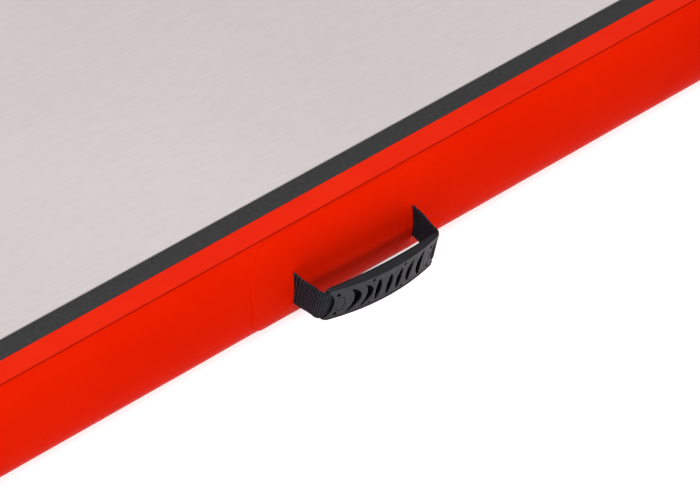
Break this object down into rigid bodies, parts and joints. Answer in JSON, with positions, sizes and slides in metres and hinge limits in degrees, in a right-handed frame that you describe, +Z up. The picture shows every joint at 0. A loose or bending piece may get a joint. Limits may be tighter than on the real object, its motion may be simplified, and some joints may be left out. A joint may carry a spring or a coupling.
{
  "type": "air track mat",
  "caption": "Inflatable drop-stitch tumbling mat with swollen glossy walls, taped edges, webbing carry handles with moulded grips, and a capped inflation valve.",
  "frame": {"origin": "middle of the underside of the mat, on the floor", "axes": "+X along the mat towards the inflation valve, +Y across it, +Z up"},
  "size_m": [3, 1.1074, 0.1006],
  "materials": {
    "top_pvc": "fine woven emboss, matt",
    "base_pvc": "matt",
    "wall_pvc": "glossy coated fabric",
    "inner_wall_pvc": "semi-gloss coated fabric",
    "edge_tape": "fine grain, matt",
    "stitch_yarn": "polyester yarn",
    "webbing": "ribbed webbing",
    "grip_plastic": "moulded, satin",
    "valve_plastic": "moulded, satin",
    "valve_rubber": "moulded rubber",
    "spring_steel": "drawn wire"
  },
  "bodies": {
    "mat": {"bottom_skin": "base_pvc", "top_skin": "top_pvc", "inner_wall": "inner_wall_pvc", "outer_wall": "wall_pvc", "top_edge_tape": "edge_tape", "bottom_edge_tape": "edge_tape", "drop_stitch_row_1": "stitch_yarn", "drop_stitch_row_2": "stitch_yarn", "drop_stitch_row_3": "stitch_yarn", "drop_stitch_row_4": "stitch_yarn", "drop_stitch_row_5": "stitch_yarn", "drop_stitch_row_6": "stitch_yarn", "drop_stitch_row_7": "stitch_yarn", "handle_1_patch": "wall_pvc", "handle_1_strap_root_left": "webbing", "handle_1_strap_root_right": "webbing", "handle_2_patch": "wall_pvc", "handle_2_strap_root_left": "webbing", "handle_2_strap_root_right": "webbing", "handle_3_patch": "wall_pvc", "handle_3_strap_root_left": "webbing", "handle_3_strap_root_right": "webbing", "handle_4_patch": "wall_pvc", "handle_4_strap_root_left": "webbing", "handle_4_strap_root_right": "webbing", "valve_collar": "valve_rubber", "valve_body": "valve_plastic", "valve_nut": "valve_plastic", "valve_spring": "spring_steel", "cap_tether": "valve_rubber"},
    "handle_1_leg_left": {"handle_1_strap_leg_left": "webbing"},
    "handle_1_leg_right": {"handle_1_strap_leg_right": "webbing"},
    "handle_1_grip": {"handle_1_strap_middle": "webbing", "handle_1_grip_front": "grip_plastic", "handle_1_grip_back": "grip_plastic"},
    "handle_2_leg_left": {"handle_2_strap_leg_left": "webbing"},
    "handle_2_leg_right": {"handle_2_strap_leg_right": "webbing"},
    "handle_2_grip": {"handle_2_strap_middle": "webbing", "handle_2_grip_front": "grip_plastic", "handle_2_grip_back": "grip_plastic"},
    "handle_3_leg_left": {"handle_3_strap_leg_left": "webbing"},
    "handle_3_leg_right": {"handle_3_strap_leg_right": "webbing"},
    "handle_3_grip": {"handle_3_strap_middle": "webbing", "handle_3_grip_front": "grip_plastic", "handle_3_grip_back": "grip_plastic"},
    "handle_4_leg_left": {"handle_4_strap_leg_left": "webbing"},
    "handle_4_leg_right": {"handle_4_strap_leg_right": "webbing"},
    "handle_4_grip": {"handle_4_strap_middle": "webbing", "handle_4_grip_front": "grip_plastic", "handle_4_grip_back": "grip_plastic"},
    "valve_poppet": {"valve_stem": "valve_plastic", "valve_disc": "valve_rubber"},
    "valve_cap": {"valve_cap": "valve_plastic", "cap_seal": "valve_rubber"}
  },
  "joints": [
    {"name": "handle_1_fold", "type": "hinge", "parent": "mat", "child": "handle_1_leg_left", "pos_m": [-0.88185, -0.50719, 0.04676], "axis": [0, -0.2351, 0.972], "range_deg": [-60, 60]},
    {"name": "handle_1_grip_fold", "type": "hinge", "parent": "handle_1_leg_left", "child": "handle_1_grip", "pos_m": [-0.88185, -0.52984, 0.04128], "axis": [0, -0.2351, 0.972], "range_deg": [-60, 60]},
    {"name": "handle_1_far_leg_fold", "type": "hinge", "parent": "mat", "child": "handle_1_leg_right", "pos_m": [-0.71815, -0.50719, 0.04676], "axis": [0, -0.2351, 0.972], "range_deg": [-60, 60]},
    {"name": "handle_2_fold", "type": "hinge", "parent": "mat", "child": "handle_2_leg_left", "pos_m": [0.71815, -0.50719, 0.04676], "axis": [0, -0.2351, 0.972], "range_deg": [-60, 60]},
    {"name": "handle_2_grip_fold", "type": "hinge", "parent": "handle_2_leg_left", "child": "handle_2_grip", "pos_m": [0.71815, -0.52984, 0.04128], "axis": [0, -0.2351, 0.972], "range_deg": [-60, 60]},
    {"name": "handle_2_far_leg_fold", "type": "hinge", "parent": "mat", "child": "handle_2_leg_right", "pos_m": [0.88185, -0.50719, 0.04676], "axis": [0, -0.2351, 0.972], "range_deg": [-60, 60]},
    {"name": "handle_3_fold", "type": "hinge", "parent": "mat", "child": "handle_3_leg_left", "pos_m": [0.88185, 0.50719, 0.04676], "axis": [0, 0.2351, 0.972], "range_deg": [-60, 60]},
    {"name": "handle_3_grip_fold", "type": "hinge", "parent": "handle_3_leg_left", "child": "handle_3_grip", "pos_m": [0.88185, 0.52984, 0.04128], "axis": [0, 0.2351, 0.972], "range_deg": [-60, 60]},
    {"name": "handle_3_far_leg_fold", "type": "hinge", "parent": "mat", "child": "handle_3_leg_right", "pos_m": [0.71815, 0.50719, 0.04676], "axis": [0, 0.2351, 0.972], "range_deg": [-60, 60]},
    {"name": "handle_4_fold", "type": "hinge", "parent": "mat", "child": "handle_4_leg_left", "pos_m": [-0.71815, 0.50719, 0.04676], "axis": [0, 0.2351, 0.972], "range_deg": [-60, 60]},
    {"name": "handle_4_grip_fold", "type": "hinge", "parent": "handle_4_leg_left", "child": "handle_4_grip", "pos_m": [-0.71815, 0.52984, 0.04128], "axis": [0, 0.2351, 0.972], "range_deg": [-60, 60]},
    {"name": "handle_4_far_leg_fold", "type": "hinge", "parent": "mat", "child": "handle_4_leg_right", "pos_m": [-0.88185, 0.50719, 0.04676], "axis": [0, 0.2351, 0.972], "range_deg": [-60, 60]},
    {"name": "poppet_push", "type": "slide", "parent": "mat", "child": "valve_poppet", "axis": [-1, 0, 0], "range_m": [0, 0.006], "stiffness_N_per_m": 400, "springref_m": -0.004, "deforming": ["valve_spring"]},
    {"name": "cap_swing", "type": "hinge", "parent": "mat", "child": "valve_cap", "pos_m": [1.4998, -0.0265, 0.05], "axis": [0, 0, -1], "range_deg": [0, 120]}
  ],
  "couplings": [
    {"joint": "handle_1_grip_fold", "follows": "handle_1_fold", "ratio": -1},
    {"joint": "handle_1_far_leg_fold", "follows": "handle_1_fold", "ratio": 1},
    {"joint": "handle_2_grip_fold", "follows": "handle_2_fold", "ratio": -1},
    {"joint": "handle_2_far_leg_fold", "follows": "handle_2_fold", "ratio": 1},
    {"joint": "handle_3_grip_fold", "follows": "handle_3_fold", "ratio": -1},
    {"joint": "handle_3_far_leg_fold", "follows": "handle_3_fold", "ratio": 1},
    {"joint": "handle_4_grip_fold", "follows": "handle_4_fold", "ratio": -1},
    {"joint": "handle_4_far_leg_fold", "follows": "handle_4_fold", "ratio": 1}
  ]
}
